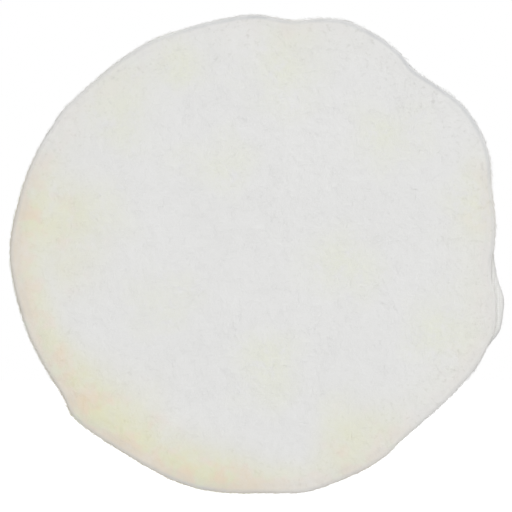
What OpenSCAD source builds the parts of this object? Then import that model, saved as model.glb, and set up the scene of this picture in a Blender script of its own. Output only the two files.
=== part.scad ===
// Felt polishing wheel: a hand-cut felt pad held by hook and loop on a
// cushioned aluminium head, with a steel hub for a lapidary arbor.
//
// The wheel stands upright and spins about Y. The felt faces -Y and the hub's
// boss points to +Y. The origin is on the spin axis, in the plane where the
// hub's flange seats on the backing plate.

/* [Felt pad] */
// Mean diameter of the felt
felt_d = 152.4; // [140:0.2:165]
// Thickness of the felt
felt_t = 6.35; // [3:0.05:10]
// How far the scissors wandered, where 1 is this pad and 0 is a true circle
cut_wander = 1; // [0:0.1:1.2]
// Thickness of the loop cloth on the back of the felt
loop_t = 1.1; // [0.8:0.1:2]
// How far the loop cloth shows past the felt at its lower right corner
loop_reveal = 3; // [0:0.25:4]
// How far the felt hides the loop cloth everywhere else
loop_inset = 0.5; // [0.25:0.25:2]

/* [Cushioned head] */
// Diameter of the plate and the cushion
head_d = 142; // [130:1:143]
// Thickness of the aluminium plate
plate_t = 6.35; // [5:0.05:10]
// Depth of the ring turned out of the plate's back
relief_depth = 1.6; // [0.5:0.1:3]
// Thickness of the sponge rubber
cushion_t = 6; // [3:0.5:12]
// Thickness of the hook sheet
hook_t = 1; // [0.8:0.1:2]
// Gap between the hook sheet and the loop cloth
grip_gap = 0.1; // [0.05:0.05:0.3]
// Thickness of each film of adhesive
film_t = 0.2; // [0.1:0.05:0.5]

/* [Hub] */
// Diameter of the arbor that the hub fits
arbor_d = 15.875; // [12:0.005:16]
// Diameter of the flange
flange_d = 64; // [62:1:66]
// Thickness of the flange
flange_t = 6; // [5:0.5:8]
// Diameter of the boss
boss_d = 36; // [32:1:36]
// Length of the boss behind the flange
boss_l = 22; // [18:1:30]
// Diameter of the spigot that centres the plate
spigot_d = 24; // [22:1:30]

/* [Fasteners] */
// Number of screws that hold the hub to the plate
hub_screw_count = 4; // [3:1:6]
// Diameter of the circle that they stand on
hub_screw_circle = 48; // [48:1:50]
// Length of the set screws
set_screw_l = 8; // [6:1:9]

/* [Hidden] */
$fn = 96;

// Cuts run past the faces that they go through by this much.
past = 1;

// The hand-cut edge, as [angle, how far it stands out from the mean circle].
// Angles run from +X towards +Z, so 90 is the top of the wheel.
CUT = [
  [0, -2], [9, -1.5], [16, -0.5], [20, 1],
  [25, 2.5], [31, 3], [37, 2.5], [43, 0.5],
  [50, -1], [55, 0.5], [63, 1.5], [70, 1.5],
  [75, 0], [82, -2.5], [91, -1.5], [101, -2],
  [110, -2], [115, -1.5], [131, -1.5], [138, -1],
  [144, 0], [149, 0], [156, 0.5], [168, 1],
  [173, 1.5], [180, 2], [186, 1.5], [192, 1],
  [200, 0.5], [208, 0], [216, 0], [221, 1.5],
  [228, 0.5], [235, -0.5], [243, -0.5], [250, 0],
  [257, 0], [263, -0.5], [270, -1], [276, -0.5],
  [282, 0], [289, -0.5], [299, -1], [303, -1.5],
  [307, -2.5], [316, -2.5], [325, -1], [332, 0.5],
  [338, 2], [342, 3.5], [346, 3], [350, 2],
  [352, 0.5], [355, -1],
];
cut_steps = 240;

// The corner where the loop cloth shows, and how far it runs to each side.
corner_angle = 349;
corner_spread = 18;

// How far the glue under the felt stays inside its edge.
glue_inset = 1;

// Depths from the seat of the flange towards the working face.
cushion_z = plate_t + film_t;
hook_z = cushion_z + cushion_t + film_t;
loop_z = hook_z + hook_t + grip_gap;
felt_z = loop_z + loop_t + film_t;

// Backing plate.
hook_inset = 0.5;
spigot_play = 0.05;
relief_inner_d = flange_d + 6;
relief_outer_d = head_d - 22;
relief_slope = 1.5;
plate_chamfer = 2;
plate_break = 0.5;

// Hub.
bore_play = 0.0125;
bore_past_seat = 3;
bore_lead = 0.8;
boss_chamfer = 1;
boss_fillet = 1.2;
flange_chamfer = 0.8;

// Hub screws: M5 socket heads on split washers.
hub_screw_d = 5;
hub_screw_hole_d = 5.5;
hub_screw_head_d = 8.5;
hub_screw_head_h = 5;
hub_screw_key = 4;
hub_screw_key_depth = 2.5;
hub_screw_chamfer = 0.5;
hub_screw_bite = 4.8;
hub_screw_start = 45;
tapped_play = 0.05;
washer_d = 9.2;
washer_bore_d = 5.1;
washer_t = 1.2;
washer_slit = 0.6;

// Set screws: M6 with a cup point, at right angles in the middle of the boss.
set_screw_d = 6;
set_screw_key = 3;
set_screw_key_depth = 3.5;
set_screw_chamfer = 0.6;
set_screw_cup_d = 3;
set_screw_cup_depth = 0.8;
set_screw_back_off = 0.2;
set_screw_side_angle = 0;
set_screw_top_angle = 90;
set_screw_z = -flange_t - boss_l / 2;
bore_r = arbor_d / 2 + bore_play;

// ---- the hand-cut outline ----

// Control points run on past the end of the list, so that the curve closes.
function turn_of(i) = CUT[(i + len(CUT)) % len(CUT)][0]
  + 360 * floor(i / len(CUT));
function stand_out(i) = CUT[(i + len(CUT)) % len(CUT)][1];

// Slope of the curve at a control point, from its two neighbours.
function slope_at(i) = (stand_out(i + 1) - stand_out(i - 1))
  / (turn_of(i + 1) - turn_of(i - 1));

// The last control point at or before an angle.
function point_before(a) = max([for (i = [0:len(CUT) - 1]) if (CUT[i][0] <= a) i]);

// Smooth curve from one control point to the next, with u running 0 to 1.
function hermite(i, u, span) =
  stand_out(i) * (2 * u ^ 3 - 3 * u ^ 2 + 1)
  + slope_at(i) * span * (u ^ 3 - 2 * u ^ 2 + u)
  + stand_out(i + 1) * (3 * u ^ 2 - 2 * u ^ 3)
  + slope_at(i + 1) * span * (u ^ 3 - u ^ 2);

// Radius of the scissors' cut at an angle from 0 to 360.
function cut_radius(a) =
  let (
    i = point_before(a),
    span = turn_of(i + 1) - turn_of(i),
    u = (a - turn_of(i)) / span
  )
  felt_d / 2 + cut_wander * hermite(i, u, span);

// 1 in the corner where the loop cloth shows, falling smoothly to 0 beside it.
function in_corner(a) =
  let (
    apart = abs(a - corner_angle),
    away = min(apart, 360 - apart) / corner_spread
  )
  (1 + cos(180 * min(away, 1))) / 2;

// Outline of one layer: how far it stays inside the cut in the corner where
// the loop cloth shows, and how far inside it everywhere else.
function outline(corner_inset, inset) = [
  for (k = [0:cut_steps - 1])
    let (
      a = 360 * k / cut_steps,
      short = corner_inset * in_corner(a) + inset * (1 - in_corner(a))
    )
    (cut_radius(a) - short) * [cos(a), sin(a)]
];

// ---- placing ----

// Stands children up on the spin axis. Their own +Z becomes -Y, so height
// above the seat becomes depth towards the working face.
module on_axle(depth = 0) {
  rotate([90, 0, 0])
    translate([0, 0, depth])
      children();
}

module at_hub_screws() {
  for (k = [0:hub_screw_count - 1])
    rotate([0, 0, hub_screw_start + 360 * k / hub_screw_count])
      translate([hub_screw_circle / 2, 0, 0])
        children();
}

// Lays children along a set screw's hole, with their own +Z pointing outwards.
module along_set_screw(angle) {
  rotate([0, 0, angle])
    translate([0, 0, set_screw_z])
      rotate([0, 90, 0])
        children();
}

// ---- the felt pad ----

module felt_disc() {
  color([0.89, 0.89, 0.87])
    on_axle(felt_z)
      linear_extrude(felt_t)
        polygon(outline(loop_reveal, 0));
}

// The glue stops short of the felt's edge, so that none of it shows.
module felt_glue() {
  color([0.85, 0.80, 0.62])
    on_axle(felt_z - film_t)
      linear_extrude(film_t)
        polygon(outline(loop_reveal + glue_inset, glue_inset));
}

module loop_sheet() {
  color([0.93, 0.92, 0.87])
    on_axle(loop_z)
      linear_extrude(loop_t)
        polygon(outline(0, loop_inset));
}

// ---- the cushioned head ----

module hook_sheet() {
  color([0.16, 0.16, 0.17])
    on_axle(hook_z)
      cylinder(d = head_d - 2 * hook_inset, h = hook_t);
}

module hook_glue() {
  color([0.85, 0.80, 0.62])
    on_axle(hook_z - film_t)
      cylinder(d = head_d - 2 * hook_inset, h = film_t);
}

module rubber_cushion() {
  color([0.20, 0.20, 0.21])
    on_axle(cushion_z)
      cylinder(d = head_d, h = cushion_t);
}

module cushion_glue() {
  color([0.85, 0.80, 0.62])
    on_axle(plate_t)
      cylinder(d = head_d - 2 * plate_break, h = film_t);
}

// Half of the plate's section: radius across, depth upwards.
module plate_section() {
  polygon([
    [spigot_d / 2 + spigot_play, 0],
    [relief_inner_d / 2, 0],
    [relief_inner_d / 2 + relief_slope, relief_depth],
    [relief_outer_d / 2 - relief_slope, relief_depth],
    [relief_outer_d / 2, 0],
    [head_d / 2 - plate_chamfer, 0],
    [head_d / 2, plate_chamfer],
    [head_d / 2, plate_t - plate_break],
    [head_d / 2 - plate_break, plate_t],
    [spigot_d / 2 + spigot_play, plate_t],
  ]);
}

module backing_plate() {
  color([0.78, 0.79, 0.80])
    on_axle()
      difference() {
        rotate_extrude()
          plate_section();
        at_hub_screws()
          translate([0, 0, -past])
            cylinder(d = hub_screw_d + 2 * tapped_play, h = plate_t + 2 * past);
      }
}

// ---- the hub ----

// The rounded corner where the boss meets the flange, as radius and depth.
function fillet_arc() = [
  for (a = [180:-15:90])
    [boss_d / 2 + boss_fillet, -flange_t - boss_fillet] + boss_fillet * [cos(a), sin(a)]
];

// Half of the hub's section: radius across, depth upwards.
module hub_section() {
  polygon([
    [0, bore_past_seat],
    [bore_r, bore_past_seat],
    [bore_r, bore_lead - flange_t - boss_l],
    [bore_r + bore_lead, -flange_t - boss_l],
    [boss_d / 2 - boss_chamfer, -flange_t - boss_l],
    [boss_d / 2, boss_chamfer - flange_t - boss_l],
    each fillet_arc(),
    [flange_d / 2 - flange_chamfer, -flange_t],
    [flange_d / 2, flange_chamfer - flange_t],
    [flange_d / 2, 0],
    [spigot_d / 2, 0],
    [spigot_d / 2, plate_t - plate_break],
    [0, plate_t - plate_break],
  ]);
}

module hub() {
  color([0.62, 0.63, 0.65])
    on_axle()
      difference() {
        rotate_extrude()
          hub_section();
        at_hub_screws()
          translate([0, 0, -flange_t - past])
            cylinder(d = hub_screw_hole_d, h = flange_t + 2 * past);
        for (angle = [set_screw_side_angle, set_screw_top_angle])
          along_set_screw(angle)
            cylinder(d = set_screw_d + 2 * tapped_play, h = boss_d);
      }
}

// ---- fasteners ----

// One socket head screw, with its shank pointing to +Z and its head on z = 0.
module socket_head_screw() {
  difference() {
    rotate_extrude()
      polygon([
        [0, -hub_screw_head_h],
        [hub_screw_head_d / 2 - hub_screw_chamfer, -hub_screw_head_h],
        [hub_screw_head_d / 2, hub_screw_chamfer - hub_screw_head_h],
        [hub_screw_head_d / 2, 0],
        [hub_screw_d / 2, 0],
        [hub_screw_d / 2, washer_t + flange_t + hub_screw_bite - hub_screw_chamfer],
        [hub_screw_d / 2 - hub_screw_chamfer, washer_t + flange_t + hub_screw_bite],
        [0, washer_t + flange_t + hub_screw_bite],
      ]);
    translate([0, 0, -hub_screw_head_h - past])
      cylinder(d = hub_screw_key / cos(30), h = hub_screw_key_depth + past, $fn = 6);
  }
}

module hub_screws() {
  color([0.20, 0.20, 0.22])
    on_axle(-flange_t - washer_t)
      at_hub_screws()
        socket_head_screw();
}

module lock_washers() {
  color([0.70, 0.71, 0.73])
    on_axle(-flange_t - washer_t)
      at_hub_screws()
        difference() {
          cylinder(d = washer_d, h = washer_t);
          translate([0, 0, -past])
            cylinder(d = washer_bore_d, h = washer_t + 2 * past);
          translate([0, -washer_slit / 2, -past])
            cube([washer_d, washer_slit, washer_t + 2 * past]);
        }
}

// One set screw, with its cup point at z = 0 and its key socket at the top.
module set_screw_solid() {
  difference() {
    rotate_extrude()
      polygon([
        [0, set_screw_cup_depth],
        [set_screw_cup_d / 2, 0],
        [set_screw_d / 2 - 2 * set_screw_chamfer, 0],
        [set_screw_d / 2, 2 * set_screw_chamfer],
        [set_screw_d / 2, set_screw_l - set_screw_chamfer],
        [set_screw_d / 2 - set_screw_chamfer, set_screw_l],
        [0, set_screw_l],
      ]);
    translate([0, 0, set_screw_l - set_screw_key_depth])
      cylinder(d = set_screw_key / cos(30), h = set_screw_key_depth + past, $fn = 6);
  }
}

module set_screw(angle) {
  color([0.20, 0.20, 0.22])
    on_axle()
      along_set_screw(angle)
        translate([0, 0, bore_r + set_screw_back_off])
          set_screw_solid();
}

module set_screw_side() {
  set_screw(set_screw_side_angle);
}

module set_screw_top() {
  set_screw(set_screw_top_angle);
}

felt_disc();
felt_glue();
loop_sheet();
hook_sheet();
hook_glue();
rubber_cushion();
cushion_glue();
backing_plate();
hub();
hub_screws();
lock_washers();
set_screw_side();
set_screw_top();
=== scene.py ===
import math

import bmesh
import bpy
import numpy as np
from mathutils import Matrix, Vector, noise


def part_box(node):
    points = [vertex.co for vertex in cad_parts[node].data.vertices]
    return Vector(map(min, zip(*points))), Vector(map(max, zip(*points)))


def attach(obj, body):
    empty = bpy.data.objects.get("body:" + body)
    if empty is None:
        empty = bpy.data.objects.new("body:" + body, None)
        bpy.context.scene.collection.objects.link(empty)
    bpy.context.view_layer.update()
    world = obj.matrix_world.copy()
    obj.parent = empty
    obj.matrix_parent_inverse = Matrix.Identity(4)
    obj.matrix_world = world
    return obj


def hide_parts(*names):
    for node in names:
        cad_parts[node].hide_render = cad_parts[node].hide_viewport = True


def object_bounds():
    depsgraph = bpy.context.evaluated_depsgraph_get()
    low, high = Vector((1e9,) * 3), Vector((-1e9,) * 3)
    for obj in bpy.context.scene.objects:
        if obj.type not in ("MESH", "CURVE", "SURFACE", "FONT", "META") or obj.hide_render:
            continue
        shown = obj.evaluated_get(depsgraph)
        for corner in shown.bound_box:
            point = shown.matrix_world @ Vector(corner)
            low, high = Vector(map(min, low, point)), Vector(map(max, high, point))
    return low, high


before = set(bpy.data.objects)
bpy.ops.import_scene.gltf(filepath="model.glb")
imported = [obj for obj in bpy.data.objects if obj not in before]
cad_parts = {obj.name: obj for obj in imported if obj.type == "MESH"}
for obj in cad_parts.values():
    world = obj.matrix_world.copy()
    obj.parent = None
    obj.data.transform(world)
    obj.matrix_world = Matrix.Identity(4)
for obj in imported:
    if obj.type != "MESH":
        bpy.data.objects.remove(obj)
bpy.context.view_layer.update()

# The looks of a felt polishing wheel: a hand-cut felt pad on a cushioned
# aluminium head with a steel hub. The wheel stands upright and spins about Y.
# The felt faces -Y, and the hub's boss points to +Y. Lengths are in
# millimetres until a mesh is made, because every piece here is small.

MM = 0.001
TURN = 2 * math.pi


# ---- places, read off the frame ----

def box_mm(node):
    """A node's lowest and highest corners, in millimetres."""
    low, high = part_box(node)
    return np.array(low) / MM, np.array(high) / MM


def across(node):
    """A round node's radius."""
    low, high = box_mm(node)
    return (high[0] - low[0]) / 2


def depths(node):
    """A node's front and back along Y. The front is nearer the felt's face."""
    low, high = box_mm(node)
    return low[1], high[1]


def points_of(thing):
    """The points of an object's mesh, in millimetres."""
    return np.array([v.co for v in thing.data.vertices]) / MM


def outline_of(node):
    """A smooth function from angle to radius, through the points of a CAD outline."""
    points = points_of(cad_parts[node])
    angle = np.round(np.arctan2(points[:, 2], points[:, 0]) % TURN, 4)
    angle, first = np.unique(angle, return_index=True)
    radius = np.hypot(points[first, 0], points[first, 2])

    def radius_at(at):
        at = np.asarray(at) % TURN
        step = TURN / len(angle)
        k = np.floor(at / step).astype(int)
        t = at / step - k
        a, b, c, d = (radius[(k + shift) % len(angle)] for shift in (-1, 0, 1, 2))
        return b + 0.5 * t * (c - a + t * (2 * a - 5 * b + 4 * c - d + t * (3 * (b - c) + d - a)))

    return radius_at


# ---- small tools for meshes ----

def bumps(points, size, seed, octaves=3):
    """Smooth noise from about -1 to 1 at each point, with lumps of the given size."""
    away = Vector((17.3 * seed, -9.1 * seed, 5.7 * seed))
    return np.array(
        [noise.fractal(Vector(p) / size + away, 1.0, 2.0, octaves) for p in points]
    )


def mesh_object(name, points, faces):
    """An object in the scene, from points in millimetres."""
    mesh = bpy.data.meshes.new(name)
    mesh.from_pydata((np.asarray(points, float) * MM).tolist(), [], faces)
    made = bpy.data.objects.new(name, mesh)
    bpy.context.scene.collection.objects.link(made)
    return made


def piece(name, points, faces, material, body, slot):
    """A smooth mesh piece with a material, riding on a body."""
    made = mesh_object(name, points, faces)
    made.data.polygons.foreach_set("use_smooth", [True] * len(faces))
    made.data.materials.append(material)
    made.data.update()
    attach(made, body)
    return made


def add_share(made, name, values):
    """Stores one number from 0 to 1 on each point, for the material to read."""
    layer = made.data.attributes.new(name, "FLOAT", "POINT")
    layer.data.foreach_set("value", np.asarray(values, np.float32))


def face_outwards(made):
    """Turns every face outwards, and joins points that lie on each other."""
    shape = bmesh.new()
    shape.from_mesh(made.data)
    bmesh.ops.remove_doubles(shape, verts=shape.verts, dist=1e-7)
    bmesh.ops.recalc_face_normals(shape, faces=shape.faces)
    shape.to_mesh(made.data)
    shape.free()


def keep_corners(made, degrees=32):
    """Shades smooth, but keeps edges sharper than this many degrees crisp."""
    shape = bmesh.new()
    shape.from_mesh(made.data)
    for edge in shape.edges:
        edge.smooth = len(edge.link_faces) == 2 and edge.calc_face_angle(0) < math.radians(degrees)
    for face in shape.faces:
        face.smooth = True
    shape.to_mesh(made.data)
    shape.free()


def polar(radius, angle, depth):
    """Points in the wheel's frame from radius, angle and place along the spin axis."""
    radius, angle, depth = np.broadcast_arrays(radius, angle, depth)
    return np.stack([radius * np.cos(angle), depth, radius * np.sin(angle)], axis=-1)


def ring_faces(rows, count, closed_rows=False):
    """Quads between rows of count points each, every row a closed ring."""
    faces = []
    for row in range(rows if closed_rows else rows - 1):
        here, there = row * count, (row + 1) % rows * count
        for k in range(count):
            after = (k + 1) % count
            faces.append((here + k, here + after, there + after, there + k))
    return faces


def disc_grid(n):
    """A round grid of n by n squares, with no pole in its middle: each point's share
    of the radius and its angle, the faces, and the rim's points in order."""
    steps = np.linspace(-1, 1, n + 1)
    u, v = (grid.ravel() for grid in np.meshgrid(steps, steps))
    share = np.maximum(abs(u), abs(v))
    side = abs(u) >= abs(v)
    with np.errstate(divide="ignore", invalid="ignore"):
        angle = np.where(
            side,
            math.pi / 4 * v / u + math.pi * (u < 0),
            math.pi / 2 - math.pi / 4 * u / v + math.pi * (v < 0),
        )
    angle = np.nan_to_num(angle) % TURN
    wide = n + 1
    faces = [
        (j * wide + i, j * wide + i + 1, (j + 1) * wide + i + 1, (j + 1) * wide + i)
        for j in range(n)
        for i in range(n)
    ]
    rim = list(range(n))
    rim += [j * wide + n for j in range(n)]
    rim += [n * wide + n - i for i in range(n)]
    rim += [(n - j) * wide for j in range(n)]
    return share, angle, faces, rim


def rounded(corners, radius, steps):
    """A profile with each corner rounded. The first and last points stay as they are."""
    corners = [np.array(c, float) for c in corners]
    out = [corners[0]]
    for before, at, after in zip(corners, corners[1:], corners[2:]):
        to, on = before - at, after - at
        reach = min(radius, 0.45 * np.linalg.norm(to), 0.45 * np.linalg.norm(on))
        start = at + to / np.linalg.norm(to) * reach
        end = at + on / np.linalg.norm(on) * reach
        for k in range(steps + 1):
            t = k / steps
            out.append((1 - t) ** 2 * start + 2 * t * (1 - t) * at + t ** 2 * end)
    return out + [corners[-1]]


def lathe(name, profile, material, body, slot, segments, closed=False):
    """Turns a profile of (radius, depth) about the spin axis. An end on the axis is a cap."""
    angle = np.linspace(0, TURN, segments, endpoint=False)
    on_axis = [k for k, (radius, _) in enumerate(profile) if radius < 1e-6]
    rows = [p for k, p in enumerate(profile) if k not in on_axis]
    points = np.concatenate([polar(radius, angle, depth) for radius, depth in rows])
    faces = ring_faces(len(rows), segments, closed)
    for k in on_axis:
        tip = len(points)
        points = np.vstack([points, [[0, profile[k][1], 0]]])
        row = 0 if k == 0 else (len(rows) - 1) * segments
        faces += [(row + i, row + (i + 1) % segments, tip) for i in range(segments)]
    made = piece(name, points, faces, material, body, slot)
    face_outwards(made)
    return made


def cut(made, cutters):
    """Cuts holes of other meshes' shapes into a piece, and removes those meshes."""
    bpy.context.view_layer.objects.active = made
    for cutter in cutters:
        step = made.modifiers.new("cut", "BOOLEAN")
        step.operation, step.solver, step.object = "DIFFERENCE", "EXACT", cutter
        with bpy.context.temp_override(object=made, active_object=made):
            bpy.ops.object.modifier_apply(modifier=step.name)
        bpy.data.objects.remove(cutter)


def ring_stack(rows, place, along, segments):
    """Rings of points up an axis that starts at place. Each row is (radius, height), and
    a radius may be a list with one value for each segment."""
    along = Vector(along).normalized()
    side = along.orthogonal().normalized()
    other = along.cross(side)
    around = np.linspace(0, TURN, segments, endpoint=False)
    ring = np.outer(np.cos(around), side) + np.outer(np.sin(around), other)
    points = [
        np.array(place) + np.array(along) * height + ring * np.broadcast_to(radius, segments)[:, None]
        for radius, height in rows
    ]
    points = np.vstack(points)
    faces = ring_faces(len(rows), segments)
    faces.append(tuple(range(segments))[::-1])
    faces.append(tuple((len(rows) - 1) * segments + k for k in range(segments)))
    return points, faces


def together(stacks):
    """Several sets of points and faces as one."""
    points, faces, start = [], [], 0
    for some_points, some_faces in stacks:
        points.append(some_points)
        faces += [tuple(start + i for i in f) for f in some_faces]
        start += len(some_points)
    return np.vstack(points), faces


def drill(profile, place, along):
    """A cutter turned from (radius, height) about an axis that starts at place."""
    made = mesh_object("cutter", *ring_stack(profile, place, along, 48))
    face_outwards(made)
    return made


# ---- small tools for materials ----

class Paint:
    """One node material, with a short call for each kind of node that it needs."""

    def __init__(self, name):
        self.material = bpy.data.materials.new(name)
        self.material.use_nodes = True
        self.tree = self.material.node_tree
        self.shader = self.tree.nodes["Principled BSDF"]
        place = self.tree.nodes.new("ShaderNodeTexCoord").outputs["Object"]
        self.place = self.node(
            "ShaderNodeVectorMath", {"operation": "SCALE"}, {0: place, "Scale": 1 / MM}
        ).outputs["Vector"]

    def node(self, kind, settings=None, inputs=None):
        made = self.tree.nodes.new(kind)
        for name, value in (settings or {}).items():
            setattr(made, name, value)
        for name, value in (inputs or {}).items():
            self.feed(made.inputs[name], value)
        return made

    def feed(self, socket, value):
        if isinstance(value, bpy.types.NodeSocket):
            self.tree.links.new(value, socket)
        else:
            socket.default_value = value

    def set(self, **inputs):
        """Sets the shader's own inputs, with _ for each space in a name."""
        for name, value in inputs.items():
            self.feed(self.shader.inputs[name.replace("_", " ")], value)

    def noise(self, size, detail=3.0, rough=0.55, place=None, twist=0.0):
        inputs = {
            "Vector": place or self.place,
            "Scale": 1 / size,
            "Detail": detail,
            "Roughness": rough,
            "Distortion": twist,
        }
        return self.node("ShaderNodeTexNoise", {}, inputs).outputs["Fac"]

    def matted(self, width, length):
        """Fine fibres that lie three ways across each other in the XZ plane."""
        most = None
        for k, turn in enumerate((0.3, 1.4, 2.5)):
            inputs = {
                "Vector": self.place,
                "Location": (9.0 * k, 0, 5.0 * k),
                "Rotation": (0, turn, 0),
                "Scale": (1.0, 1.0, length / width),
            }
            # This kind of mapping turns first and stretches after.
            lain = self.node("ShaderNodeMapping", {"vector_type": "TEXTURE"}, inputs).outputs[0]
            one = self.noise(width, 2, 0.5, lain, 0.6)
            most = one if most is None else self.math("MAXIMUM", most, one)
        return most

    def waves(self, period, axis):
        """Even ribs across an axis, this far apart."""
        settings = {"wave_type": "BANDS", "bands_direction": axis, "wave_profile": "SIN"}
        inputs = {"Vector": self.place, "Scale": math.pi / 10 / period}
        return self.node("ShaderNodeTexWave", settings, inputs).outputs["Fac"]

    def cells(self, size):
        """Distance from the middle of the nearest cell, for cells of this size."""
        inputs = {"Vector": self.place, "Scale": 1 / size}
        return self.node("ShaderNodeTexVoronoi", {}, inputs).outputs["Distance"]

    def span(self, value, low, high, to_low=0.0, to_high=1.0):
        """A value's place between low and high, as a number from to_low to to_high."""
        inputs = {"Value": value, "From Min": low, "From Max": high, "To Min": to_low, "To Max": to_high}
        return self.node("ShaderNodeMapRange", {"clamp": True}, inputs).outputs["Result"]

    def math(self, operation, a, b):
        return self.node("ShaderNodeMath", {"operation": operation}, {0: a, 1: b}).outputs[0]

    def blend(self, share, first, second):
        made = self.node("ShaderNodeMix", {"data_type": "RGBA"}, {0: share, 6: first, 7: second})
        return made.outputs[2]

    def stored(self, name):
        """The number that add_share() put on the mesh, or 0 where there is none."""
        return self.node("ShaderNodeAttribute", {"attribute_name": name}).outputs["Fac"]

    def stretched(self, x, y, z):
        """The place again, squeezed along each axis by these factors."""
        settings = {"operation": "MULTIPLY"}
        return self.node("ShaderNodeVectorMath", settings, {0: self.place, 1: (x, y, z)}).outputs[0]

    def from_axis(self):
        """Distance from the spin axis."""
        settings = {"operation": "LENGTH"}
        return self.node("ShaderNodeVectorMath", settings, {0: self.stretched(1, 0, 1)}).outputs["Value"]

    def bump(self, height, depth, strength, under=None):
        """A bump of the given depth in millimetres, on top of another bump or none."""
        inputs = {"Height": height, "Distance": depth * MM, "Strength": strength}
        if under is not None:
            inputs["Normal"] = under
        return self.node("ShaderNodeBump", {}, inputs).outputs["Normal"]


def tone(red, green, blue):
    """A colour from its 0 to 255 screen values."""
    def linear(c):
        c /= 255
        return c / 12.92 if c <= 0.04045 else ((c + 0.055) / 1.055) ** 2.4
    return (linear(red), linear(green), linear(blue), 1.0)


# ---- materials ----

FELT_WHITE = tone(228, 228, 227)
FELT_SHADE = tone(226, 226, 225)
FELT_SALLOW = tone(226, 228, 212)
FELT_TAN = tone(228, 214, 190)
FELT_OLIVE = tone(223, 222, 192)
# Grey for the painted shade of the rounded cut edge, with some dirt.
FELT_RIM_SHADE_AND_DIRT = tone(198, 199, 200)
# Grey for the specks, and painted shade in the gaps between the fibres.
FELT_SPECK_AND_GAP_SHADE = tone(205, 205, 202)

# Sallow patches on the felt's face: x, z, reach.
PATCHES = [
    (-43, 46, 13), (-25, 61, 9), (8, 58, 13), (-14, 27, 11), (40, 37, 12), (66, 15, 11),
    (27, -3, 13), (-31, -15, 11), (3, -37, 12), (56, -21, 13), (27, -56, 11), (-56, 12, 13),
]


def felt_material():
    paint = Paint("felt")
    cloudy = paint.span(paint.noise(26, 2), 0.35, 0.68)
    colour = paint.blend(cloudy, FELT_WHITE, FELT_SHADE)

    # The sallow patches, with ragged edges.
    ragged = paint.noise(6, 4, 0.65)
    wander = paint.span(paint.noise(12, 3, 0.6), 0.3, 0.7, -7, 7)
    patchy = None
    for x, z, reach in PATCHES:
        inputs = {0: paint.stretched(1, 0, 1), 1: (x, 0, z)}
        far = paint.node("ShaderNodeVectorMath", {"operation": "DISTANCE"}, inputs).outputs["Value"]
        near = paint.span(paint.math("ADD", far, wander), 1.3 * reach, 0.2 * reach)
        patchy = near if patchy is None else paint.math("MAXIMUM", patchy, near)
    patchy = paint.math("MULTIPLY", patchy, paint.span(ragged, 0.35, 0.6))
    colour = paint.blend(paint.math("MULTIPLY", patchy, 0.75), colour, FELT_SALLOW)

    # Grey specks, plainest near the edge, and painted shade in the low gaps between the fibres.
    near_edge = paint.stored("edge")
    specks = paint.span(paint.noise(1.5, 3, 0.6), 0.57, 0.7)
    speckle = paint.math("MULTIPLY", specks, paint.span(near_edge, 0, 0.6, 0.12, 0.55))
    colour = paint.blend(speckle, colour, FELT_SPECK_AND_GAP_SHADE)
    fibres = paint.matted(0.3, 2.6)
    # Painted shade where the fibres lie low.
    colour = paint.blend(paint.span(fibres, 0.72, 0.5, 0.0, 0.12), colour, FELT_SPECK_AND_GAP_SHADE)

    # Soiling stored on the mesh: tan at the edge, olive further in. Then the rim's line: painted shade along
    # the rounded cut, with some dirt where the edge is soiled.
    uneven = paint.span(ragged, 0.25, 0.65, 0.6, 1.15)
    inward = paint.math("ADD", paint.noise(7, 2), paint.span(near_edge, 0.35, 1.0, 0.13, -0.13))
    tint = paint.blend(paint.span(inward, 0.42, 0.58), FELT_TAN, FELT_OLIVE)
    colour = paint.blend(paint.math("MULTIPLY", paint.stored("soil"), uneven), colour, tint)
    # The rim's line: painted shade along the cut, with some dirt.
    colour = paint.blend(paint.math("MULTIPLY", paint.stored("rim"), uneven), colour, FELT_RIM_SHADE_AND_DIRT)

    lumps = paint.bump(paint.noise(2.4, 3, 0.6), 0.2, 0.5)
    normal = paint.bump(paint.span(fibres, 0.45, 0.8), 0.06, 0.6, lumps)
    paint.set(
        Base_Color=colour,
        Roughness=paint.span(fibres, 0.4, 0.8, 1.0, 0.86),
        Normal=normal,
        Sheen_Weight=0.25,
        Sheen_Roughness=0.6,
        Specular_IOR_Level=0.15,
    )
    return paint.material


def nap_material():
    """The loose fibres: cleaner and brighter than the felt that they lie on."""
    paint = Paint("felt_nap")
    colour = paint.blend(paint.span(paint.noise(3, 2), 0.35, 0.65), tone(238, 238, 238), tone(230, 230, 229))
    colour = paint.blend(paint.stored("soil"), colour, tone(234, 224, 202))
    paint.set(
        Base_Color=colour,
        Roughness=paint.span(paint.noise(1.1), 0.3, 0.7, 0.8, 0.95),
        Normal=paint.bump(paint.noise(0.2, 2), 0.01, 0.3),
        Sheen_Weight=0.3,
        Sheen_Roughness=0.6,
        Specular_IOR_Level=0.15,
    )
    return paint.material


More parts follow.
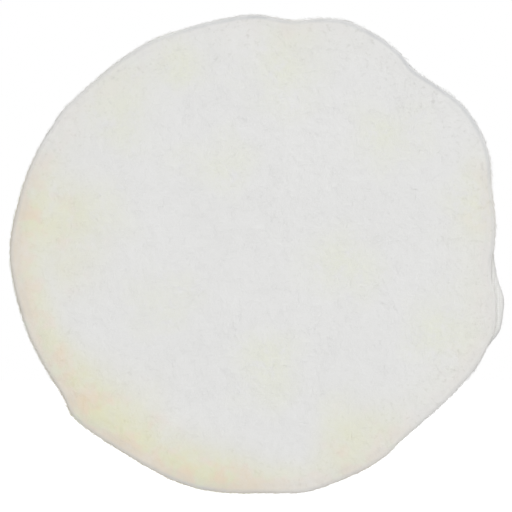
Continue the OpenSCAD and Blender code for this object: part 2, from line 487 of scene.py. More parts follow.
def loop_material():
    paint = Paint("loop_cloth")
    thread = paint.noise(0.35, 3, 0.6)
    ribs = paint.math("MULTIPLY", paint.waves(0.85, "X"), paint.waves(0.6, "Z"))
    worn = paint.noise(14, 3)
    colour = paint.blend(paint.span(thread, 0.3, 0.7), tone(243, 243, 242), tone(234, 234, 232))
    colour = paint.blend(paint.span(worn, 0.5, 0.75, 0, 0.4), colour, tone(226, 224, 214))
    # Darker in the grooves between the ribs: painted shade.
    colour = paint.blend(paint.span(ribs, 0.35, 0.0, 0, 0.35), colour, tone(204, 203, 197))
    # A darker line along the cloth's cut edge: painted shade.
    colour = paint.blend(paint.math("MULTIPLY", paint.stored("cut_edge_shade"), 0.75), colour, tone(200, 200, 198))
    paint.set(
        Base_Color=colour,
        Roughness=paint.span(thread, 0.3, 0.7, 0.7, 0.95),
        Normal=paint.bump(thread, 0.08, 0.5, paint.bump(ribs, 0.16, 0.8)),
        Sheen_Weight=0.35,
        Sheen_Roughness=0.4,
        Specular_IOR_Level=0.25,
    )
    return paint.material


def glue_material():
    paint = Paint("dried_glue")
    blotch = paint.noise(5, 4, 0.6)
    colour = paint.blend(paint.span(blotch, 0.35, 0.65), tone(214, 190, 128), tone(172, 138, 74))
    paint.set(
        Base_Color=colour,
        Roughness=paint.span(paint.noise(1.2), 0.3, 0.7, 0.28, 0.6),
        Normal=paint.bump(paint.noise(0.8, 3), 0.1, 0.6),
        Specular_IOR_Level=0.5,
    )
    return paint.material


def hook_material():
    paint = Paint("hook_nylon")
    dust = paint.noise(9, 4, 0.6)
    colour = paint.blend(paint.span(dust, 0.5, 0.75, 0, 0.5), tone(30, 30, 32), tone(74, 73, 70))
    paint.set(
        Base_Color=colour,
        Roughness=paint.span(paint.noise(1.5), 0.3, 0.7, 0.35, 0.55),
        Normal=paint.bump(paint.noise(0.5, 2), 0.03, 0.4),
        Specular_IOR_Level=0.5,
    )
    return paint.material


def sponge_material():
    paint = Paint("sponge_rubber")
    uneven = paint.span(paint.noise(1.8, 2), 0.3, 0.7, -0.16, 0.2)
    pores = paint.span(paint.math("ADD", paint.cells(0.7), uneven), 0.12, 0.5)
    small = paint.span(paint.cells(0.28), 0.1, 0.45)
    pores = paint.math("MULTIPLY", pores, paint.span(small, 0, 1, 0.6, 1))
    cloudy = paint.noise(11, 4, 0.6)
    colour = paint.blend(paint.span(cloudy, 0.3, 0.7), tone(52, 52, 54), tone(74, 73, 73))
    # The pores are painted much darker: painted shade inside the open cells.
    colour = paint.blend(paint.span(pores, 0.5, 0.0, 0, 0.7), colour, tone(28, 28, 29))
    fine = paint.bump(paint.noise(0.3, 2), 0.05, 0.4)
    paint.set(
        Base_Color=colour,
        Roughness=paint.span(pores, 0.0, 1.0, 0.98, 0.82),
        Normal=paint.bump(pores, 0.25, 0.8, fine),
        Specular_IOR_Level=0.25,
    )
    return paint.material


def turned_metal(name, bright, dull, groove, rough):
    """Metal off a lathe: rings about the spin axis, a few deeper ones, smears and scratches."""
    paint = Paint(name)
    radius = paint.from_axis()
    by_radius = paint.node("ShaderNodeCombineXYZ", {}, {0: radius}).outputs[0]
    along = paint.node("ShaderNodeSeparateXYZ", {}, {0: paint.place}).outputs["Y"]
    both = paint.node("ShaderNodeCombineXYZ", {}, {0: radius, 1: along}).outputs[0]
    rings = paint.noise(groove, 3, 0.7, both)
    bands = paint.noise(4, 4, 0.6, by_radius)
    smears = paint.noise(16, 5, 0.6, None, 0.8)
    scratches = paint.span(paint.noise(0.5, 2, 0.5, paint.stretched(0.05, 1, 1.3)), 0.66, 0.72)
    colour = paint.blend(paint.span(bands, 0.3, 0.7), bright, dull)
    colour = paint.blend(paint.span(smears, 0.5, 0.75, 0, 0.35), colour, dull)
    gloss = paint.math("ADD", paint.span(rings, 0.3, 0.7, rough - 0.07, rough + 0.07),
                       paint.span(smears, 0.45, 0.75, 0, 0.16))
    normal = paint.bump(rings, 0.025, 0.6)
    normal = paint.bump(scratches, -0.01, 0.3, normal)
    tangent = paint.node("ShaderNodeTangent", {"direction_type": "RADIAL", "axis": "Y"})
    paint.set(
        Base_Color=colour,
        Metallic=1.0,
        Roughness=gloss,
        Normal=normal,
        Anisotropic=0.55,
        Tangent=tangent.outputs[0],
    )
    return paint.material


def fastener_material(name, metal, worn, metallic, rough):
    """Small hard fasteners: a finish that has rubbed off a little in patches."""
    paint = Paint(name)
    rubbed = paint.span(paint.noise(1.6, 4, 0.65), 0.52, 0.7)
    stain = paint.noise(5, 3)
    colour = paint.blend(paint.math("MULTIPLY", rubbed, 0.5), metal, worn)
    paint.set(
        Base_Color=colour,
        Metallic=metallic,
        Roughness=paint.span(stain, 0.3, 0.7, rough - 0.08, rough + 0.12),
        Normal=paint.bump(paint.noise(0.35, 3), 0.015, 0.5),
    )
    return paint.material


felt_paint = felt_material()
nap_paint = nap_material()
loop_paint = loop_material()
pile_paint = loop_material()
pile_paint.name = "loop_pile"
glue_paint = glue_material()
hook_paint = hook_material()
sponge_paint = sponge_material()
plate_paint = turned_metal("turned_aluminium", tone(225, 226, 228), tone(190, 192, 195), 0.22, 0.30)
hub_paint = turned_metal("turned_steel", tone(196, 196, 198), tone(158, 158, 161), 0.18, 0.32)
oxide_paint = fastener_material("black_oxide", tone(48, 48, 52), tone(112, 110, 108), 0.9, 0.42)
zinc_paint = fastener_material("zinc_plate", tone(206, 209, 214), tone(168, 168, 166), 1.0, 0.3)


# ---- the felt ----

felt_edge = outline_of("felt_disc")
felt_front, felt_back = depths("felt_disc")
FELT_ROUND = 0.9
FACE_SET_BACK = 0.3

# Soiling is even this far in from the cut, and the speckled zone ends this far in.
SOIL_EVEN = 4
EDGE_ZONE = 16

# Soiling round the edge: degrees from +X towards +Z, strength, how far in it reaches,
# and how plain the dark line of painted shade is that follows the cut.
EDGE_SOIL_AND_SHADE = [
    (0, 0.15, 9, 0.45), (12, 0.30, 7, 0.40), (30, 0.02, 6, 0.80), (60, 0.03, 6, 0.90),
    (72, 0.08, 9, 0.70), (82, 0.20, 9, 0.55), (92, 0.08, 8, 0.90), (105, 0.05, 8, 0.60),
    (125, 0.10, 9, 0.40), (140, 0.12, 12, 0.35), (153, 0.15, 7, 0.35), (162, 0.60, 7, 0.30),
    (172, 0.80, 10, 0.30), (185, 0.60, 8, 0.20), (200, 0.70, 6, 0.25), (212, 0.85, 9, 0.30),
    (221, 1.05, 12, 0.30), (232, 0.85, 14, 0.30), (242, 0.80, 10, 0.35), (252, 1.05, 9, 0.35),
    (262, 1.10, 8, 0.35), (272, 0.55, 6, 0.25), (282, 0.35, 5, 0.35), (292, 0.50, 15, 0.35),
    (303, 0.42, 12, 0.25), (315, 0.12, 8, 0.20), (328, 0.14, 8, 0.30), (339, 0.15, 8, 0.15),
    (354, 0.15, 8, 0.25),
]

# Soiled patches further in: x, z, reach, strength.
SOILED_PATCHES = [(-67, 9, 15, 0.55), (-62, -2, 11, 0.40), (-59, 43, 9, 0.15), (-66, -28, 8, 0.2)]


def edge_soil_and_shade(angle, column):
    """A column of EDGE_SOIL_AND_SHADE at each angle, blended from row to row."""
    table = np.array(EDGE_SOIL_AND_SHADE)
    return np.interp(np.degrees(angle) % 360, table[:, 0], table[:, column], period=360)


def inset_of(points):
    """The angle of each point, and how far it is inside the felt's edge."""
    angle = np.arctan2(points[:, 2], points[:, 0])
    return angle, felt_edge(angle) - np.hypot(points[:, 0], points[:, 2])


def soil_at(points):
    """How soiled the felt is at each point, from 0 to 1 or a little more."""
    angle, inside = inset_of(points)
    past = np.maximum(inside - SOIL_EVEN, 0) / edge_soil_and_shade(angle, 2)
    soil = edge_soil_and_shade(angle, 1) * np.exp(-past ** 2)
    for x, z, reach, strength in SOILED_PATCHES:
        far = np.hypot(points[:, 0] - x, points[:, 2] - z) / reach
        soil = np.maximum(soil, strength * np.exp(-far ** 2))
    return soil


def rim_shade_and_dirt_at(points):
    """Painted shade along the rounded cut, 1 where it is plainest, a faint broken line of painted shade
    inside it, and some dirt near the cut where the edge is soiled.
    """
    angle, inside = inset_of(points)
    broken = np.clip(0.5 + 1.2 * bumps(points, 6, 7, 2), 0, 1)
    line = edge_soil_and_shade(angle, 3) * np.exp(-((inside - 0.6) / 0.6) ** 2)
    line += 0.16 * broken * np.exp(-((inside - 2.6) / 0.45) ** 2)
    return line + 0.35 * edge_soil_and_shade(angle, 1) * np.exp(-(inside / SOIL_EVEN) ** 2)


def edge_at(points):
    """1 at the felt's cut edge, falling to 0 at the end of the speckled zone."""
    return np.clip(1 - inset_of(points)[1] / EDGE_ZONE, 0, 1)


def nap_height(points):
    """How far the felt's face stands out: long waves, pressed lumps and nap."""
    waves = 0.22 * bumps(points, 38, 1, 2)
    lumps = 0.10 * bumps(points, 8, 2, 3)
    nap = 0.045 * bumps(points, 1.9, 3, 2)
    return waves + lumps + nap


def make_felt(n=230):
    """The pressed felt: a napped face, a rounded rim, a rough cut wall and a flat back."""
    share, angle, faces, rim = disc_grid(n)
    flat_edge = felt_edge(angle) - FELT_ROUND
    face = polar(share * flat_edge, angle, 0.0)
    depth = felt_front + FACE_SET_BACK - nap_height(face)
    face[:, 1] = depth

    # The cut edge, from the face's rim round to the back.
    rim_angle, rim_depth = angle[rim], depth[rim]
    thick = felt_back - felt_front
    rows = []
    for k in range(1, 6):
        a = math.pi / 2 * k / 5
        rows.append((FELT_ROUND * (1 - math.sin(a)), FELT_ROUND * (1 - math.cos(a))))
    rows += [(0.0, d) for d in np.linspace(FELT_ROUND + 0.4, thick - 0.4, 12)]
    rows += [(0.12, thick - 0.2), (0.5, thick), (5.0, thick)]
    points = [face]
    for inset, down in rows:
        ring = polar(felt_edge(rim_angle) - inset, rim_angle, felt_front + down)
        settled = np.clip(1 - down / 3, 0, 1)
        ring[:, 1] += settled * (rim_depth - felt_front)
        if down < thick:
            rough = 0.09 * bumps(ring * (1, 2.6, 1), 1.1, 5, 3) + 0.14 * bumps(ring, 6, 6, 2)
            ring += polar(rough, rim_angle, 0.0)
        points.append(ring)
    points = np.vstack(points)

    count, grid = len(rim), len(face)
    faces = [f[::-1] for f in faces]
    starts = [rim] + [list(range(grid + k * count, grid + (k + 1) * count)) for k in range(len(rows))]
    for here, there in zip(starts, starts[1:]):
        for k in range(count):
            after = (k + 1) % count
            faces.append((here[k], here[after], there[after], there[k]))
    faces.append(tuple(starts[-1]))
    made = piece("felt_face", points, faces, felt_paint, "felt_pad", "felt")
    face_outwards(made)
    points = points_of(made)
    add_share(made, "soil", soil_at(points))
    # The rim's line: painted shade along the cut and a crease inside it, with some dirt.
    add_share(made, "rim", rim_shade_and_dirt_at(points))
    add_share(made, "edge", edge_at(points))
    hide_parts("felt_disc")
    return made


def strands(name, roots, ways, up, lengths, thick, rise, seed, material, body, slot):
    """Fine fibres, each a thin three-sided tube that tapers to a point at both ends."""
    dice = np.random.default_rng(seed)
    count, links = len(roots), 5
    along = np.linspace(0, 1, links + 1)
    curl = dice.uniform(-1.0, 1.0, count)
    bend = dice.uniform(-0.9, 0.9, count)
    side = np.cross(ways, up)
    side /= np.linalg.norm(side, axis=1)[:, None]
    spine = []
    for t in along:
        sway = (curl * math.sin(math.pi * t) + bend * t * t) * 0.35 * lengths
        arch = rise * lengths * math.sin(math.pi * t)
        spine.append(roots + ways * (t * lengths)[:, None] + side * sway[:, None] + up * arch[:, None])
    points = [spine[0]]
    for k in range(1, links):
        for corner in range(3):
            a = TURN * corner / 3
            points.append(spine[k] + thick * (math.cos(a) * side + math.sin(a) * up))
    points.append(spine[links])
    points = np.stack(points, axis=1)
    each = points.shape[1]
    pattern = [(0, 1, 2), (0, 2, 3), (0, 3, 1)]
    for k in range(links - 2):
        for corner in range(3):
            a, b = 1 + 3 * k + corner, 1 + 3 * k + (corner + 1) % 3
            pattern.append((a, a + 3, b + 3, b))
    last = each - 4
    pattern += [(last + (c + 1) % 3, last + c, each - 1) for c in range(3)]
    faces = [tuple(each * s + i for i in f) for s in range(count) for f in pattern]
    made = piece(name, points.reshape(-1, 3), faces, material, body, slot)
    return made, each


def make_face_fibres(count=5000):
    """Loose fibres that lie on the felt's face."""
    dice = np.random.default_rng(11)
    angle = dice.uniform(0, TURN, count)
    roots = polar(np.sqrt(dice.uniform(0, 1, count)) * (felt_edge(angle) - 2.0), angle, 0.0)
    roots[:, 1] = felt_front + FACE_SET_BACK - nap_height(roots)
    turn = dice.uniform(0, TURN, count)
    ways = polar(1.0, turn, 0.0)
    up = np.tile([0.0, -1.0, 0.0], (count, 1))
    lengths = dice.uniform(1.5, 5.0, count)
    made, each = strands("felt_nap", roots, ways, up, lengths, 0.015, 0.02, 12, nap_paint, "felt_pad", "felt")
    add_share(made, "soil", np.repeat(soil_at(roots), each))
    add_share(made, "edge", np.repeat(0.6 * edge_at(roots), each))


def make_edge_fibres(count=6500):
    """Short fibres on the cut wall. Most lie along it, and some stand out."""
    dice = np.random.default_rng(21)
    angle = dice.uniform(0, TURN, count)
    depth = dice.uniform(felt_front + 0.6, felt_back - 0.2, count)
    round_off = np.clip((felt_front + FELT_ROUND - depth) / FELT_ROUND, 0, 1) ** 2
    roots = polar(felt_edge(angle) - 0.05 - 0.7 * round_off, angle, depth)
    lean = dice.normal(0, 0.22, count)
    way = np.where(dice.uniform(size=count) < 0.5, 1.0, -1.0)
    ways = polar(np.sin(abs(lean)), angle, 0.0)
    ways += polar(way * np.cos(lean), angle + math.pi / 2, 0.0)
    ways[:, 1] = dice.normal(0, 0.45, count)
    ways /= np.linalg.norm(ways, axis=1)[:, None]
    up = polar(1.0, angle, 0.0)
    up -= ways * (up * ways).sum(axis=1)[:, None]
    up /= np.linalg.norm(up, axis=1)[:, None]
    lengths = dice.uniform(0.6, 2.0, count)
    made, each = strands("felt_edge_fibres", roots, ways, up, lengths, 0.024, 0.12, 22, felt_paint,
                         "felt_pad", "felt")
    add_share(made, "soil", np.repeat(soil_at(roots), each))
    add_share(made, "edge", np.repeat(0.5 * edge_at(roots), each))


felt = make_felt()
make_face_fibres()
make_edge_fibres()


# ---- the glue films ----

def make_bead(name, node, seed, body):
    """Glue that has squeezed out round a film's rim, in uneven runs."""
    dice = np.random.default_rng(seed)
    radius, (front, back) = across(node), depths(node)
    points, faces, at, sides = [], [], 0.0, 7
    while at < TURN - 0.25:
        length = dice.uniform(0.08, 0.6)
        length = min(length, TURN - 0.02 - at)
        links = max(int(length * radius / 0.6), 6)
        along = np.linspace(at, at + length, links)
        fat = np.sin(np.linspace(0, math.pi, links)[1:-1]) ** 0.4
        fat = fat * (0.75 + 0.35 * bumps(polar(radius, along[1:-1], 0.0), 2.5, seed))
        start = len(points)
        points.append(polar(radius, along[0], (front + back) / 2))
        for k in range(1, links - 1):
            for corner in range(sides):
                a = TURN * corner / sides
                out, up = 0.42 * fat[k - 1] * math.cos(a), 0.17 * fat[k - 1] * math.sin(a)
                points.append(polar(radius + 0.1 + out, along[k], (front + back) / 2 + up))
        points.append(polar(radius, along[-1], (front + back) / 2))
        for c in range(sides):
            d = (c + 1) % sides
            faces.append((start, start + 1 + c, start + 1 + d))
            for k in range(links - 3):
                row = start + 1 + k * sides
                faces.append((row + c, row + sides + c, row + sides + d, row + d))
            row = start + 1 + (links - 3) * sides
            faces.append((row + c, len(points) - 1, row + d))
        at += length + dice.uniform(0.02, 0.35)
    made = piece(name, points, faces, glue_paint, body, "adhesive")
    face_outwards(made)


for film in ("felt_glue", "hook_glue", "cushion_glue"):
    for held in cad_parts[film].material_slots:
        held.material = glue_paint
make_bead("hook_glue_bead", "hook_glue", 31, "wheel_head")
make_bead("cushion_glue_bead", "cushion_glue", 32, "wheel_head")


# ---- the loop cloth on the felt's back ----

cloth_edge = outline_of("loop_sheet")
cloth_front, _ = depths("loop_sheet")
CLOTH_THICK = 0.5


def make_cloth(n=150):
    """The knitted ground: two faces and a cut edge."""
    share, angle, faces, rim = disc_grid(n)
    rim_angle = angle[rim]
    cut_line = cloth_edge(angle) + 0.10 * bumps(polar(75.0, angle, 0.0), 0.9, 41)
    low = polar(share * cut_line, angle, 0.0)
    ripple = 0.05 * bumps(low, 5, 42, 2)
    low[:, 1] = cloth_front + 0.02 + 0.04 * share ** 8
    high = low.copy()
    high[:, 1] = cloth_front + CLOTH_THICK + ripple
    middle = polar(cut_line[rim] + 0.06, rim_angle, cloth_front + CLOTH_THICK / 2)
    points = np.vstack([low, high, middle])
    grid, count = len(low), len(rim)
    faces = faces + [tuple(i + grid for i in f[::-1]) for f in faces]
    for k in range(count):
        a, b, m = rim[k], rim[(k + 1) % count], 2 * grid
        faces.append((a, b, m + (k + 1) % count, m + k))
        faces.append((m + k, m + (k + 1) % count, grid + b, grid + a))
    made = piece("loop_cloth", points, faces, loop_paint, "felt_pad", "loop_cloth")
    face_outwards(made)
    points = points_of(made)
    inside = cloth_edge(np.arctan2(points[:, 2], points[:, 0])) - np.hypot(points[:, 0], points[:, 2])
    # Painted shade along the cut edge: 1 at the cut, and gone a millimetre in.
    add_share(made, "cut_edge_shade", np.clip(1 - inside, 0, 1))
    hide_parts("loop_sheet")
    return made


def make_loops(pitch=1.52):
    """The pile: small bowed loops that the hooks catch on."""
    dice = np.random.default_rng(43)
    reach = int(80 / pitch)
    i, j = np.meshgrid(np.arange(-reach, reach + 1), np.arange(-reach, reach + 1))
    x = (i.ravel() + 0.5 * (j.ravel() % 2)) * pitch + dice.uniform(-0.3, 0.3, i.size)
    z = j.ravel() * pitch * 0.9 + dice.uniform(-0.3, 0.3, i.size)
    keep = np.hypot(x, z) < cloth_edge(np.arctan2(z, x)) - 0.9
    x, z = x[keep], z[keep]
    count, sides = len(x), 3
    thick, ground = 0.055, cloth_front + CLOTH_THICK - 0.06
    height = dice.uniform(0.42, 0.58, count)
    turn = dice.uniform(0, TURN, count)
    wide = dice.uniform(0.3, 0.55, count)
    lean = dice.uniform(-0.25, 0.25, count)
    points = []
    for along, up in ((-1.0, 0.0), (-0.75, 0.8), (0.75, 0.85), (1.0, 0.0)):
        for corner in range(sides):
            a = TURN * corner / sides
            out = thick * math.cos(a)
            apart = (wide + out * (1 if up == 0 else 0.6)) * along
            side = thick * math.sin(a) + lean * up
            px = x + apart * np.cos(turn) - side * np.sin(turn)
            pz = z + apart * np.sin(turn) + side * np.cos(turn)
            py = ground + height * up + (out * 0.7 if up else 0.0)
            points.append(np.stack([px, py + 0 * px, pz], axis=-1))
    points = np.stack(points, axis=1)
    pattern = [(2, 1, 0), (9, 10, 11)]
    for k in range(3):
        for corner in range(sides):
            a, b = 3 * k + corner, 3 * k + (corner + 1) % sides
            pattern.append((a, b, b + 3, a + 3))
    faces = [tuple(12 * s + i for i in f) for s in range(count) for f in pattern]
    return piece("loop_pile", points.reshape(-1, 3), faces, pile_paint, "felt_pad", "loop_cloth")


def make_loose_ends(count=900):
    """Short ends of yarn along the cloth's cut edge."""
    dice = np.random.default_rng(44)
    angle = dice.uniform(0, TURN, count)
    depth = cloth_front + dice.uniform(0.1, CLOTH_THICK - 0.05, count)
    roots = polar(cloth_edge(angle) - 0.1, angle, depth)
    lean = dice.normal(0, 0.7, count)
    ways = polar(np.cos(lean), angle, 0.0) + polar(np.sin(lean), angle + math.pi / 2, 0.0)
    ways[:, 1] = dice.uniform(-0.1, 0.5, count)
    ways /= np.linalg.norm(ways, axis=1)[:, None]
    up = np.tile([0.0, 1.0, 0.0], (count, 1))
    lengths = dice.uniform(0.25, 0.8, count)
    return strands("loop_cloth_ends", roots, ways, up, lengths, 0.035, 0.1, 45, pile_paint,
                   "felt_pad", "loop_cloth")[0]


cloth = make_cloth()
pile = make_loops()
ends = make_loose_ends()
cloth_radius = cloth_edge(np.linspace(0, TURN, 720, endpoint=False)) * MM


# ---- the hook tape on the head ----

_, hook_back = depths("hook_sheet")
hook_radius = across("hook_sheet")
HOOK_BASE = 0.4


def make_hook_base():
    """The sheet that the hooks stand on."""
    top = hook_back - HOOK_BASE
    corners = [(0, top), (hook_radius, top), (hook_radius, hook_back), (0, hook_back)]
    profile = rounded(corners, 0.15, 3)
    made = lathe("hook_tape", profile, hook_paint, "wheel_head", "hook_tape", 256)
    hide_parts("hook_sheet")


def make_hooks(pitch=1.98):
    """Moulded mushroom hooks in staggered rows, with a few bent or broken off."""
    dice = np.random.default_rng(51)
    mushroom = [(0.15, -0.05), (0.11, 0.3), (0.27, 0.36), (0.3, 0.46), (0.17, 0.55)]
    stacks = []
    reach = int(hook_radius / pitch) + 1
    for j in range(-reach, reach + 1):
        for i in range(-reach, reach + 1):
            x, z = (i + 0.5 * (j % 2)) * pitch, j * pitch * 0.9
            broken, lean_x, lean_z = dice.uniform(), *dice.normal(0, 0.05, 2)
            if math.hypot(x, z) > hook_radius - 0.6 or broken < 0.02:
                continue
            foot = (x, hook_back - HOOK_BASE, z)
            stacks.append(ring_stack(mushroom, foot, (lean_x, -1, lean_z), 5))
    points, faces = together(stacks)
    piece("hook_heads", points, faces, hook_paint, "wheel_head", "hook_tape")


make_hook_base()
make_hooks()


# ---- the sponge cushion ----

def make_sponge(segments=840, rows=16):
    """A cut disc of sponge, a little waisted, with open pores in its wall."""
    front, back = depths("rubber_cushion")
    radius = across("rubber_cushion")
    angle = np.linspace(0, TURN, segments, endpoint=False)
    parts = [polar(radius - 6, angle, front), polar(radius - 0.5, angle, front)]
    for t in np.linspace(0, 1, rows):
        pulled_in = 0.45 * math.sin(math.pi * t)
        ring = polar(radius - 0.12 - pulled_in, angle, front + 0.04 + t * (back - front - 0.08))
        pores = np.array([noise.voronoi(Vector(p) / 0.95)[0][0] for p in ring])
        depth = 0.4 * np.clip(0.55 - pores, 0, 1)
        ring -= polar(depth - 0.08 * bumps(ring, 6, 52, 2), angle, 0.0)
        parts.append(ring)
    parts += [polar(radius - 0.5, angle, back), polar(radius - 6, angle, back)]
    faces = ring_faces(len(parts), segments)
    faces.append(tuple(range(segments)))
    faces.append(tuple((len(parts) - 1) * segments + k for k in range(segments)))
    made = piece("sponge_cushion", np.vstack(parts), faces, sponge_paint, "wheel_head", "sponge_rubber")
    face_outwards(made)
    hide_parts("rubber_cushion")


make_sponge()


# ---- the plate and the hub ----

plate_front, plate_back = depths("backing_plate")
plate_radius = across("backing_plate")
hub_low, hub_high = box_mm("hub")
SCREW_CIRCLE = 24.0
SCREW_SPOTS = [
    (SCREW_CIRCLE * math.cos(a), SCREW_CIRCLE * math.sin(a))
    for a in (math.radians(45 + 90 * k) for k in range(4))
]
FLANGE_THICK, FLANGE_RADIUS, BOSS_RADIUS, BORE_RADIUS, SPIGOT_RADIUS = 6.0, 32.0, 18.0, 7.95, 12.0
BORE_FLOOR, SET_SCREW_HEIGHT, WASHER_THICK = -3.0, 17.0, 1.2


def make_plate():
    """Turned from plate: chamfered rim, shallow relief ring, clearance for the hub's spigot."""
    hole, (inner, outer), depth, slope = SPIGOT_RADIUS + 0.05, (35.0, 60.0), 1.6, 1.5
    back_chamfer, front_chamfer = 2, 0.5
    on_wall = (hole, -3.0)
    corners = [
        on_wall, (hole, plate_back), (inner, plate_back), (inner + slope, plate_back - depth),
        (outer - slope, plate_back - depth), (outer, plate_back),
        (plate_radius - back_chamfer, plate_back), (plate_radius, plate_back - back_chamfer),
        (plate_radius, plate_front + front_chamfer), (plate_radius - front_chamfer, plate_front),
        (hole, plate_front), on_wall,
    ]
    profile = rounded(corners, 0.22, 3)[:-1]
    made = lathe("turned_plate", profile, plate_paint, "wheel_head", "plate_aluminium", 288, True)
    tapped_radius, past = 2.55, 1
    tapped = [(tapped_radius, -past), (tapped_radius, plate_back - plate_front + past)]
    cut(made, [drill(tapped, (x, plate_front, z), (0, 1, 0)) for x, z in SCREW_SPOTS])
    keep_corners(made)
    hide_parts("backing_plate")


def make_hub():
    """Turned from bar: spigot, flange, boss with a fillet at its foot, and a blind bore."""
    bottom, top, fillet = hub_low[1], hub_high[1], 1.2
    corners = [
        (0, bottom), (SPIGOT_RADIUS - 0.4, bottom), (SPIGOT_RADIUS, bottom + 0.4),
        (SPIGOT_RADIUS, 0), (FLANGE_RADIUS - 0.3, 0), (FLANGE_RADIUS, 0.3),
        (FLANGE_RADIUS, FLANGE_THICK - 0.8), (FLANGE_RADIUS - 0.8, FLANGE_THICK),
    ]
    for k in range(7):
        a = math.pi / 2 * k / 6
        out, up = fillet - fillet * math.sin(a), fillet - fillet * math.cos(a)
        corners.append((BOSS_RADIUS + out, FLANGE_THICK + up))
    corners += [
        (BOSS_RADIUS, top - 1), (BOSS_RADIUS - 1, top), (BORE_RADIUS + 0.8, top),
        (BORE_RADIUS, top - 0.8), (BORE_RADIUS, BORE_FLOOR), (0, BORE_FLOOR),
    ]
    made = lathe("turned_hub", rounded(corners, 0.12, 2), hub_paint, "wheel_head", "hub_steel", 192)
    clear = [(2.75, -1), (2.75, FLANGE_THICK - 0.25), (3.6, FLANGE_THICK + 0.6)]
    cutters = [drill(clear, (x, 0, z), (0, 1, 0)) for x, z in SCREW_SPOTS]
    across_wall = [(3.05, 5), (3.05, BOSS_RADIUS - 0.55), (4.1, BOSS_RADIUS + 0.5)]
    for way in ((1, 0, 0), (0, 0, 1)):
        cutters.append(drill(across_wall, (0, SET_SCREW_HEIGHT, 0), way))
    cut(made, cutters)
    keep_corners(made)
    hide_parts("hub")


make_plate()
make_hub()


# ---- the fasteners ----

HEX = np.radians(60)


def hexagon(flats, segments=72):
    """Radii of a hexagon with this distance across its flats, one for each segment."""
    around = np.linspace(0, TURN, segments, endpoint=False)
    return flats / 2 / np.cos((around + HEX / 2) % HEX - HEX / 2)


def cap_screw(x, z):
    """A socket head cap screw: knurled head, chamfers, key socket and shank."""
    foot, head = FLANGE_THICK + WASHER_THICK, 5.0
    knurl = 4.25 - 0.13 * (np.arange(72) % 2)
    rows = [
        (2.1, -4.8), (2.5, -4.4), (2.5, foot - 0.3), (2.7, foot), (4.0, foot), (4.1, foot + 0.25),
        (knurl - 0.02, foot + 0.4), (knurl, foot + 0.6), (knurl, foot + head - 1.0),
        (knurl - 0.04, foot + head - 0.75), (4.05, foot + head - 0.5), (3.7, foot + head - 0.06),
        (3.55, foot + head), (2.6, foot + head), (2.42, foot + head - 0.08),
        (hexagon(4.0), foot + head - 0.22), (hexagon(4.0), foot + head - 2.5),
        (1.9, foot + head - 2.55), (0.1, foot + head - 3.2),
    ]
    return ring_stack(rows, (x, 0, z), (0, 1, 0), 72)


def split_washer(x, z, turn):
    """A spring washer: a square-section ring, slit at a slant and sprung a little open."""
    low, high = FLANGE_THICK, FLANGE_THICK + WASHER_THICK
    inner, outer, soft = 2.55, 4.6, 0.12
    section = [
        (inner + soft, low), (outer - soft, low), (outer, low + soft), (outer, high - soft),
        (outer - soft, high), (inner + soft, high), (inner, high - soft), (inner, low + soft),
    ]
    links, gap, slant = 60, 0.16, 0.22
    points = []
    for k in range(links + 1):
        for radius, height in section:
            t = k / links
            lean = slant * (height - low) / (high - low)
            a = turn + gap / 2 + lean + t * (TURN - gap)
            squeezed = height + 0.02 * (0.5 - t)
            points.append((x + radius * math.cos(a), squeezed, z + radius * math.sin(a)))
    faces = ring_faces(links + 1, len(section))
    faces.append(tuple(range(len(section))))
    faces.append(tuple(links * len(section) + k for k in range(len(section))))
    return np.array(points), faces


def set_screw(along):
    """A threaded set screw with a cup point and a key socket."""
    inner, length, pitch, segments = 8.15, 8.0, 1.0, 48
    phase = np.arange(segments) / segments
    rows = [(0.2, 0.9), (1.75, 0.0), (1.95, 0.0), (2.35, 0.45)]
    for height in np.arange(0.6, length - 0.55, 0.125):
        wave = abs((height / pitch - phase) % 1.0 - 0.5) * 2
        ridge = np.clip(1.35 * wave - 0.1, 0, 1)
        fade = min(1.0, (height - 0.4) / 0.8, (length - 0.35 - height) / 0.6)
        rows.append((2.42 + 0.54 * ridge * fade, height))
    rows += [
        (2.35, length - 0.25), (2.15, length - 0.02), (1.95, length), (1.85, length - 0.06),
        (hexagon(3.0, segments), length - 0.25), (hexagon(3.0, segments), length - 3.5),
        (1.4, length - 3.55), (0.1, length - 3.9),
    ]
    place = np.array([0, SET_SCREW_HEIGHT, 0]) + inner * np.array(along, float)
    return ring_stack(rows, place, along, segments)


def fastener(name, stack, material, body, slot, node):
    made = piece(name, *stack, material, body, slot)
    face_outwards(made)
    keep_corners(made, 28)
    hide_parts(node)


cap_screws = together([cap_screw(x, z) for x, z in SCREW_SPOTS])
fastener("cap_screws", cap_screws, oxide_paint, "wheel_head", "black_oxide", "hub_screws")
turns = (0.6, 2.9, 4.4, 5.5)
washers = together([split_washer(x, z, turn) for (x, z), turn in zip(SCREW_SPOTS, turns)])
fastener("split_washers", washers, zinc_paint, "wheel_head", "zinc_steel", "lock_washers")
fastener("side_grub_screw", set_screw((1, 0, 0)), oxide_paint, "side_set_screw", "black_oxide",
         "set_screw_side")
fastener("top_grub_screw", set_screw((0, 0, 1)), oxide_paint, "top_set_screw", "black_oxide",
         "set_screw_top")


# ---- camera, floor and light ----

def make_camera():
    """Looks straight at the felt's face from far off, a little below and left of the axis."""
    data = bpy.data.cameras.new("camera")
    data.lens, data.sensor_width = 240, 36
    camera = bpy.data.objects.new("camera", data)
    bpy.context.scene.collection.objects.link(camera)
    seen_width, left, below, past_face = 160.7, 1.05, 0.86, 2
    distance = seen_width * data.lens / data.sensor_width
    camera.location = Vector((-left, felt_front + past_face - distance, -below)) * MM
    camera.rotation_euler = (math.pi / 2, 0, 0)
    bpy.context.scene.camera = camera


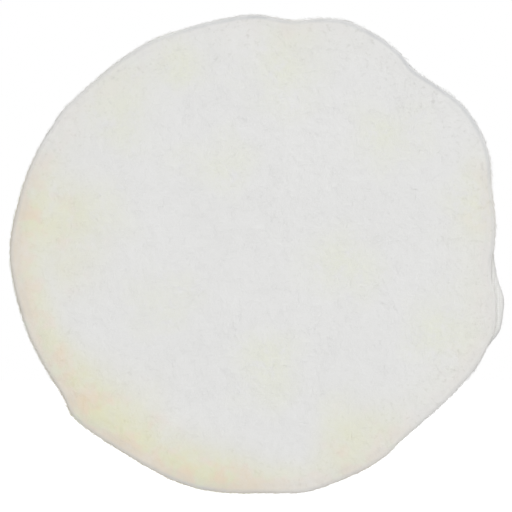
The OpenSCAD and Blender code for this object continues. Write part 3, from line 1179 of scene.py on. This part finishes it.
def floor_material():
    """A white floor that still shows a soft shadow, but throws little light back up."""
    paint = Paint("floor")
    paint.set(Base_Color=(0.72, 0.72, 0.72, 1), Roughness=0.9, Specular_IOR_Level=0.1)
    seen = paint.node("ShaderNodeBsdfPrincipled", {}, {
        "Base Color": (0.93, 0.93, 0.93, 1), "Roughness": 0.9, "Specular IOR Level": 0.1,
        "Emission Color": (1, 1, 1, 1), "Emission Strength": 0.5,
    })
    path, mix = paint.node("ShaderNodeLightPath"), paint.node("ShaderNodeMixShader")
    paint.feed(mix.inputs[0], path.outputs["Is Camera Ray"])
    paint.feed(mix.inputs[1], paint.shader.outputs[0])
    paint.feed(mix.inputs[2], seen.outputs[0])
    paint.feed(paint.tree.nodes["Material Output"].inputs["Surface"], mix.outputs[0])
    return paint.material


def make_floor():
    """A wide floor, a little below the wheel, which hangs above it."""
    low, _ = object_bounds()
    half, hang = 2200, 45
    height = low[2] / MM - hang
    corners = [(x, y, height) for x, y in ((-half, -half), (half, -half), (half, half), (-half, half))]
    floor = mesh_object("floor", corners, [(0, 1, 2, 3)])
    floor.data.materials.append(floor_material())


def make_light(name, kind, place, power, size):
    """A light at a place, aimed at the wheel. A sun's size is its angle, in degrees."""
    data = bpy.data.lights.new(name, kind)
    data.energy = power
    if kind == "SUN":
        data.angle = math.radians(size)
    else:
        data.shape, data.size = "DISK", size
    lamp = bpy.data.objects.new(name, data)
    bpy.context.scene.collection.objects.link(lamp)
    lamp.location = place
    lamp.rotation_euler = (-Vector(place)).to_track_quat("-Z", "Y").to_euler()


def sky_strength(nodes, links):
    """0.26 at the horizon, rising to 0.46 straight overhead."""
    place, parts = nodes.new("ShaderNodeTexCoord"), nodes.new("ShaderNodeSeparateXYZ")
    rise = nodes.new("ShaderNodeMapRange")
    rise.inputs["To Min"].default_value, rise.inputs["To Max"].default_value = 0.26, 0.46
    links.new(place.outputs["Generated"], parts.inputs[0])
    links.new(parts.outputs["Z"], rise.inputs["Value"])
    return rise.outputs["Result"]


def make_sky():
    """A white surround that the camera sees, and a softer one that lights the wheel."""
    world = bpy.data.worlds.new("studio")
    bpy.context.scene.world = world
    world.use_nodes = True
    nodes, links = world.node_tree.nodes, world.node_tree.links
    nodes.clear()
    seen, lit = nodes.new("ShaderNodeBackground"), nodes.new("ShaderNodeBackground")
    seen.inputs["Color"].default_value = (1, 1, 1, 1)
    seen.inputs["Strength"].default_value = 1.0
    lit.inputs["Color"].default_value = (1, 1, 1, 1)
    links.new(sky_strength(nodes, links), lit.inputs["Strength"])
    path, mix = nodes.new("ShaderNodeLightPath"), nodes.new("ShaderNodeMixShader")
    links.new(path.outputs["Is Camera Ray"], mix.inputs[0])
    links.new(lit.outputs[0], mix.inputs[1])
    links.new(seen.outputs[0], mix.inputs[2])
    links.new(mix.outputs[0], nodes.new("ShaderNodeOutputWorld").inputs["Surface"])


make_camera()
make_floor()
make_sky()
make_light("overhead", "SUN", (0.35, -0.22, 1.2), 1.2, 40)
make_light("front", "AREA", (0.55, -1.6, 0.45), 13.4, 1.1)
make_light("left", "AREA", (-1.5, -0.7, 0.05), 2.9, 1.0)
make_light("behind", "AREA", (-0.9, 1.1, 0.6), 9, 0.7)
bpy.context.scene.view_settings.view_transform = "Standard"
